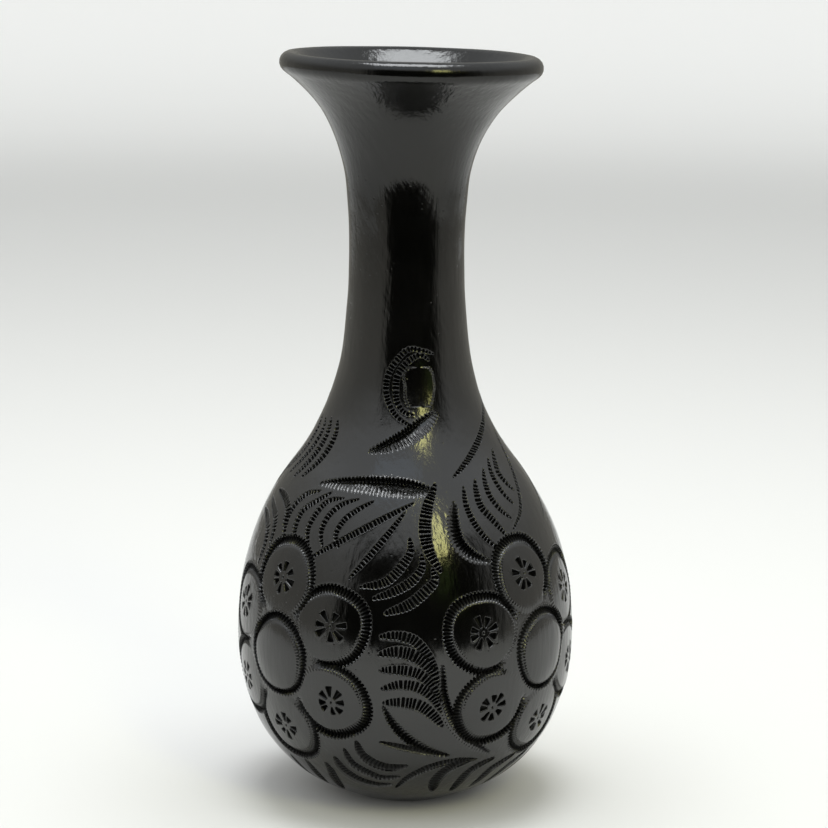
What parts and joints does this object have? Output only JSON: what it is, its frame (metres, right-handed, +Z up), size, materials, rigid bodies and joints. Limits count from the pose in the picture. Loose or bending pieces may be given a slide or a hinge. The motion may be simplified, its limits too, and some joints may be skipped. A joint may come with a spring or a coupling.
{
  "type": "bottle vase",
  "caption": "Small burnished black clay bottle vase with a round carved belly on a flat base, a slim neck and a flared mouth with a rolled lip.",
  "frame": {"origin": "centre of the flat face that the vessel stands on", "axes": "+Z up the vessel's axis from the base to the mouth; +X and +Y are across it"},
  "size_m": [0.082, 0.082, 0.1799],
  "materials": {
    "burnished_clay": "low-fired black clay, rubbed to a metallic gloss, with matt cuts"
  },
  "bodies": {
    "root": {"base_disc": "burnished_clay", "lower_body": "burnished_clay", "upper_body": "burnished_clay", "neck_tube": "burnished_clay", "mouth_flare": "burnished_clay", "rim_coil": "burnished_clay"}
  },
  "joints": []
}
